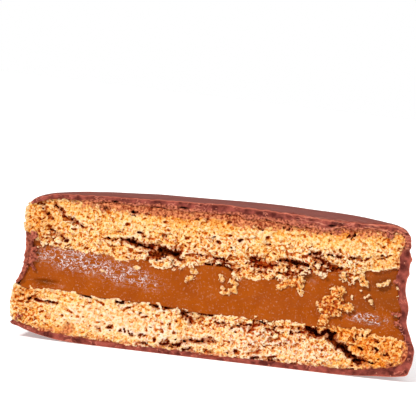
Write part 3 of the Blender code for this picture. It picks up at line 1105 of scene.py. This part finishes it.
MOTTLE, given, made = new_group(
    "mottle", (("Dark", COLOUR, (0, 0, 0, 1)), ("Light", COLOUR, (1, 1, 1, 1)),
               ("Patch", FLOAT, 1.0), ("Contrast", FLOAT, 2.0)),
    (("Colour", COLOUR), ("Mask", FLOAT)))
noise = texture(MOTTLE, "ShaderNodeTexNoise", given["Patch"], {"Detail": 4.0})["Fac"]
centred = times(MOTTLE, maths(MOTTLE, "SUBTRACT", noise, 0.5), given["Contrast"])
mask = maths(MOTTLE, "ADD", centred, 0.5, clamp=True)
feed(MOTTLE, made["Colour"], mix(MOTTLE, mask, given["Dark"], given["Light"]))
feed(MOTTLE, made["Mask"], mask)

# %% Pitting
PITTING, given, made = new_group("pitting", (("Size", FLOAT, 0.35), ("Level", FLOAT, 0.4)),
                                 (("Mask", FLOAT), ("Normal", VECTOR)))
noise = texture(PITTING, "ShaderNodeTexNoise", given["Size"],
                {"Detail": 3.0, "Roughness": 0.6})["Fac"]
mask = between(PITTING, noise, maths(PITTING, "ADD", given["Level"], 0.03),
               maths(PITTING, "SUBTRACT", given["Level"], 0.04))
bump = add(PITTING, "ShaderNodeBump", {"Height": mask, "Strength": 0.6, "Distance": 0.12 * MM},
           invert=True)
feed(PITTING, made["Mask"], mask)
feed(PITTING, made["Normal"], bump.outputs["Normal"])

# %% Specks and broken lines
SPECKS, given, made = new_group(
    "specks", (("Spacing", FLOAT, 1.0), ("Size", FLOAT, 0.2), ("Share", FLOAT, 0.5)),
    (("Mask", FLOAT),))
cells = texture(SPECKS, "ShaderNodeTexVoronoi", given["Spacing"])
soft = between(SPECKS, cells["Distance"], given["Size"], times(SPECKS, given["Size"], 0.6))
chosen = maths(SPECKS, "LESS_THAN", cells["Color"], given["Share"])
feed(SPECKS, made["Mask"], times(SPECKS, soft, chosen))

STREAKS, given, made = new_group(
    "broken_lines", (("Spacing", FLOAT, 0.5), ("Width", FLOAT, 0.05), ("Amount", FLOAT, 0.5)),
    (("Mask", FLOAT),))
winding = texture(STREAKS, "ShaderNodeTexNoise", given["Spacing"],
                  {"Detail": 1.0, "Distortion": 0.6})["Fac"]
off_line = maths(STREAKS, "ABSOLUTE", maths(STREAKS, "SUBTRACT", winding, 0.5))
line = between(STREAKS, off_line, given["Width"], times(STREAKS, given["Width"], 0.3))
gaps = texture(STREAKS, "ShaderNodeTexNoise", times(STREAKS, given["Spacing"], 1.3),
               {"Detail": 1.0})["Fac"]
limit = maths(STREAKS, "SUBTRACT", 0.8, times(STREAKS, given["Amount"], 0.5))
shown = between(STREAKS, gaps, limit, maths(STREAKS, "ADD", limit, 0.05))
feed(STREAKS, made["Mask"], times(STREAKS, line, shown))

# %% Smears
# Long soft smears, used only for painted highlights.
HIGHLIGHT_SMEARS, given, made = new_group(
    "highlight_smears", (("Length", FLOAT, 2.0), ("Width", FLOAT, 0.4), ("Amount", FLOAT, 0.5)),
    (("Mask", FLOAT),))
coordinates = add(HIGHLIGHT_SMEARS, "ShaderNodeTexCoord").outputs["Object"]
along, behind, upward = add(HIGHLIGHT_SMEARS, "ShaderNodeSeparateXYZ", {0: coordinates}).outputs
squeezed = times(HIGHLIGHT_SMEARS, along, maths(HIGHLIGHT_SMEARS, "DIVIDE", given["Width"], given["Length"]))
place = add(HIGHLIGHT_SMEARS, "ShaderNodeCombineXYZ", {0: squeezed, 1: behind, 2: upward}).outputs[0]
streaky = texture(HIGHLIGHT_SMEARS, "ShaderNodeTexNoise", given["Width"],
                  {"Vector": place, "Detail": 3.0})["Fac"]
limit = maths(HIGHLIGHT_SMEARS, "SUBTRACT", 0.7, times(HIGHLIGHT_SMEARS, given["Amount"], 0.4))
feed(HIGHLIGHT_SMEARS, made["Mask"], between(HIGHLIGHT_SMEARS, streaky, limit, maths(HIGHLIGHT_SMEARS, "ADD", limit, 0.16)))
print("shared effects:", [group.name for group in bpy.data.node_groups])

# %% [markdown]
# ## Crumb
# The colour of crumb follows its shape, as painted light and shade: the tips of the grains are
# painted pale, the dents between them golden, and the pores orange-brown, as light that gets into a
# pore comes back orange-brown. One attribute, the hollow shade, says how far down a point sits.
# Three rows of colours, from pale crumb to well baked crumb, are mixed by toast, and each row runs
# from the lit tip to the shaded pore. Deep cracks are painted brown as painted shade, small pits
# dark orange, and beside the coat the crumb is stained by chocolate, with one painted shadow among
# the stains.

# %% Crumb material
# Each row runs from the pale lit tip of a grain to the dark shaded pore, as painted light and
# shade.
PALE = ((0.30, tone(226, 205, 184)), (0.45, tone(227, 196, 156)), (0.55, tone(222, 172, 106)),
        (0.64, tone(196, 98, 30)), (0.80, tone(140, 40, 4)))
GOLDEN = ((0.30, tone(227, 201, 166)), (0.45, tone(227, 190, 126)), (0.55, tone(220, 156, 66)),
          (0.64, tone(186, 80, 10)), (0.80, tone(124, 32, 2)))
BAKED = ((0.30, tone(224, 176, 110)), (0.45, tone(216, 138, 48)), (0.55, tone(202, 106, 20)),
         (0.64, tone(164, 60, 4)), (0.80, tone(106, 26, 1)))

look = new_material("golden_crumb")
tree = look[1]
grainy = use(tree, MOTTLE, Patch=0.3, Contrast=4.0)["Mask"]
rough = attribute(tree, "rough")
unevenness = maths(tree, "ADD", times(tree, rough, 0.16), 0.08)
# Painted shade: how far down a point sits, with a fine grain added.
hollow_shade = maths(tree, "ADD", attribute(tree, "hollow_shade"),
               times(tree, maths(tree, "SUBTRACT", grainy, 0.5), unevenness))
toast = attribute(tree, "toast")
colour = mix(tree, maths(tree, "MULTIPLY", toast, 2.0, clamp=True), ramp(tree, hollow_shade, PALE),
             ramp(tree, hollow_shade, GOLDEN))
well_baked = maths(tree, "SUBTRACT", times(tree, toast, 2.0), 1.0, clamp=True)
colour = mix(tree, well_baked, colour, ramp(tree, hollow_shade, BAKED))
# Painted shade: small pits are painted dark orange, more where the crumb is rough.
pitted = use(tree, PITTING, Size=0.45, Level=0.42)
open_pits = maths(tree, "ADD", times(tree, rough, 0.8), 0.1, clamp=True)
colour = mix(tree, times(tree, pitted["Mask"], open_pits), colour, tone(184, 70, 8))
# Painted shade: cracks and crumb deep behind the cut are painted brown.
depth_shade = ramp(tree, attribute(tree, "depth_shade"), ((0.0, (1, 1, 1, 1)), (0.5, tone(184, 104, 52)),
                                            (1.0, tone(106, 48, 16))))
colour = mix(tree, 1.0, colour, depth_shade, "MULTIPLY")
soaked_tone = use(tree, MOTTLE, Dark=tone(124, 42, 18), Light=tone(216, 134, 88), Patch=0.4,
                  Contrast=4.0)["Colour"]
# Chocolate stains the crumb beside the coat; one small spot in the same tone is a painted shadow.
colour = mix(tree, attribute(tree, "stain_and_shadow"), colour, soaked_tone)
finish(look, colour, pitted["Normal"], (upper_biscuit, lower_biscuit, crumbs),
       roughness=0.85, gloss=0.03)

# %% [markdown]
# ## Dulce de leche
# Milk and sugar cooked until it is brown: smooth, dense and sticky, with a soft shine.
# Where it lies in a dent it is painted darker, as painted shade. Where the knife pulled it, soft
# smears and short pale threads are painted on the wrinkles as painted highlights, and small pale
# flecks and specks are spread all over it.

# %% Dulce de leche material
look = new_material("amber_dulce_de_leche")
tree = look[1]
colour = use(tree, MOTTLE, Dark=tone(134, 56, 0), Light=tone(154, 72, 2), Patch=2.5,
             Contrast=1.6)["Colour"]
# Painted shade: darker in the dents.
colour = mix(tree, between(tree, attribute(tree, "dip"), 0.25, 0.9), colour, tone(124, 58, 8))
pulled = between(tree, attribute(tree, "pulled"), 0.1, 0.9)
# Painted highlights on the pulled wrinkles: soft pale smears and short pale threads.
painted_sheen = use(tree, HIGHLIGHT_SMEARS, Length=1.3, Width=0.32, Amount=0.5)["Mask"]
colour = mix(tree, times(tree, times(tree, painted_sheen, pulled), 0.65), colour,
             tone(158, 140, 132))
painted_glint_threads = use(tree, STREAKS, Spacing=0.5, Width=0.05, Amount=0.7)["Mask"]
colour = mix(tree, times(tree, times(tree, painted_glint_threads, pulled), 0.85), colour,
             tone(222, 214, 214))
flecks = use(tree, STREAKS, Spacing=0.3, Width=0.05, Amount=0.45)["Mask"]
colour = mix(tree, times(tree, flecks, 0.33), colour, tone(206, 164, 136))
grains = use(tree, SPECKS, Spacing=0.5, Size=0.12, Share=0.4)["Mask"]
colour = mix(tree, times(tree, grains, 0.5), colour, tone(214, 172, 142))
relief = use(tree, RELIEF, Grain=0.5, Strength=0.5)["Normal"]
finish(look, colour, relief, (filling,), roughness=0.35, gloss=0.08)

# %% [markdown]
# ## Milk chocolate
# The outside of the coat is satin, with faint clouds. Its broken edge is rougher and a little
# paler. A paler line along its outer rim is a painted highlight, and so are the light streaks on
# the top right; thin lighter streaks all over, most on the broken edge, are partly knife smears and
# partly painted highlight, and the air holes are painted dark as painted shade.

# %% Chocolate material
look = new_material("milk_chocolate")
tree = look[1]
skin = use(tree, MOTTLE, Dark=tone(114, 45, 33), Light=tone(142, 62, 46), Patch=3.0,
           Contrast=2.0)["Colour"]
broken = use(tree, MOTTLE, Dark=tone(78, 28, 22), Light=tone(146, 70, 58), Patch=1.3,
             Contrast=3.5)["Colour"]
colour = mix(tree, attribute(tree, "cut_face"), skin, broken)
rough_part = use(tree, MOTTLE, Dark=tone(96, 34, 20), Light=tone(196, 112, 82), Patch=0.4,
                 Contrast=4.0)["Colour"]
colour = mix(tree, attribute(tree, "torn"), colour, rough_part)
# Painted highlights: light streaks over the top right of the coat.
painted_highlight_ridges = use(tree, HIGHLIGHT_SMEARS, Length=3.0, Width=0.4, Amount=0.45)["Mask"]
painted_highlight_ridges = times(tree, painted_highlight_ridges, attribute(tree, "scuffs_and_sheen"))
colour = mix(tree, times(tree, painted_highlight_ridges, 0.7), colour, tone(206, 132, 106))
# Thin lighter streaks: partly smears of the knife, partly painted highlight.
smear_and_highlight = use(tree, STREAKS, Spacing=1.4, Width=0.03, Amount=0.6)["Mask"]
smear_and_highlight_share = maths(tree, "ADD", times(tree, attribute(tree, "cut_face"), 0.4), 0.2)
colour = mix(tree, times(tree, smear_and_highlight, smear_and_highlight_share), colour, tone(194, 114, 92))
# Painted highlight along the outer rim of the broken edge.
painted_rim_highlight = times(tree, attribute(tree, "rim"), 0.8)
colour = mix(tree, painted_rim_highlight, colour, tone(198, 110, 86))
# Painted shade: the air holes are painted nearly black.
colour = mix(tree, attribute(tree, "painted_hole_shade"), colour, tone(40, 10, 6))
dust = use(tree, SPECKS, Spacing=1.6, Size=0.08, Share=0.4)["Mask"]
colour = mix(tree, times(tree, dust, 0.6), colour, tone(206, 140, 110))
relief = use(tree, RELIEF, Grain=0.7, Strength=0.5)["Normal"]
finish(look, colour, relief, (shell,), roughness=0.42, gloss=0.07)

look = new_material("chocolate_bits")
tree = look[1]
colour = use(tree, MOTTLE, Dark=tone(112, 46, 32), Light=tone(182, 100, 78), Patch=0.4,
             Contrast=4.0)["Colour"]
relief = use(tree, RELIEF, Grain=0.4, Strength=0.5)["Normal"]
finish(look, colour, relief, (chocolate_bits,), roughness=0.5, gloss=0.12)

# %% [markdown]
# ## Tie the pieces to the model
# Each piece replaces the CAD solid that it stands for and rides on the one body. The
# loose crumbs are extra and take the finish of the biscuit.

# %% Ride and replace
for piece, node, slot in (
    (shell, "chocolate_coat", "milk_chocolate"),
    (upper_biscuit, "upper_biscuit", "biscuit"),
    (lower_biscuit, "lower_biscuit", "biscuit"),
    (filling, "dulce_de_leche", "dulce_de_leche"),
):
    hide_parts(node)
    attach(piece, "root")
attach(crumbs, "root")
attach(chocolate_bits, "root")

# %% [markdown]
# ## Table, light and camera
# A pale painted table, an even pale studio round it and four suns: a soft key from the
# left, a weak fill from the right, one from above and one from behind. The world looks
# white to the camera but lights the food only weakly, so the suns still shape the crumb.

# %% Table and studio
TABLE_SIZE, TABLE_GAP = 4, 0.05 * MM
bpy.ops.mesh.primitive_plane_add(size=TABLE_SIZE, location=(0, 0, -TABLE_GAP))
floor = bpy.context.object
floor.name = "pale_table"
material, tree, shader = new_material("pale_paint")
colour = use(tree, MOTTLE, Dark=tone(248, 248, 247), Light=tone(253, 253, 253),
             Patch=30.0)["Colour"]
feed(tree, shader.inputs["Base Color"], colour)
shader.inputs["Roughness"].default_value = 0.9
shader.inputs["Emission Color"].default_value = (1, 1, 1, 1)
shader.inputs["Emission Strength"].default_value = 0.35
floor.data.materials.append(material)

GLOW = 0.3
world = bpy.data.worlds.new("studio")
bpy.context.scene.world = world
world.use_nodes = True
tree = world.node_tree
seen = tree.nodes["Background"]
seen.inputs["Color"].default_value = (1, 1, 1, 1)
glow = add(tree, "ShaderNodeBackground", {"Color": (1, 1, 1, 1), "Strength": GLOW})
camera_ray = add(tree, "ShaderNodeLightPath").outputs["Is Camera Ray"]
choose = add(tree, "ShaderNodeMixShader", {0: camera_ray, 1: glow.outputs[0], 2: seen.outputs[0]})
feed(tree, tree.nodes["World Output"].inputs["Surface"], choose.outputs[0])

# %% Suns
SIGHT = Vector((-3.2, CUT_Y, 25.7)) * MM  # the point that the camera looks at


def sun(name, azimuth, height, strength, softness):
    """Parallel light from this many degrees to the right of the camera and above it."""
    data = bpy.data.lights.new(name, "SUN")
    data.energy = strength
    data.angle = math.radians(softness)
    light = bpy.data.objects.new(name, data)
    a, h = math.radians(azimuth), math.radians(height)
    towards = Vector((math.sin(a) * math.cos(h), -math.cos(a) * math.cos(h), math.sin(h)))
    light.rotation_euler = towards.to_track_quat("Z", "Y").to_euler()
    light.location = SIGHT + towards * 0.5
    bpy.context.scene.collection.objects.link(light)


sun("key", -35, 38, 2.9, 8)
sun("fill", 45, 15, 0.5, 60)
sun("top", 0, 80, 0.7, 60)
sun("rim", 150, 25, 0.5, 40)

# %% Camera
ELEVATION, ROLL, DISTANCE = math.radians(4), math.radians(6.8), 0.3929
LENS, SENSOR = 200, 36
data = bpy.data.cameras.new("camera")
data.lens = LENS
data.sensor_width = SENSOR
camera = bpy.data.objects.new("camera", data)
bpy.context.scene.collection.objects.link(camera)
back = Vector((0, -math.cos(ELEVATION), math.sin(ELEVATION)))
level, upright = Vector((1, 0, 0)), Vector((0, math.sin(ELEVATION), math.cos(ELEVATION)))
right = level * math.cos(ROLL) + upright * math.sin(ROLL)
up = upright * math.cos(ROLL) - level * math.sin(ROLL)
camera.matrix_world = Matrix.LocRotScale(
    SIGHT + back * DISTANCE, Matrix((right, up, back)).transposed().to_quaternion(), None)
bpy.context.scene.camera = camera
bpy.context.scene.view_settings.view_transform = "Standard"
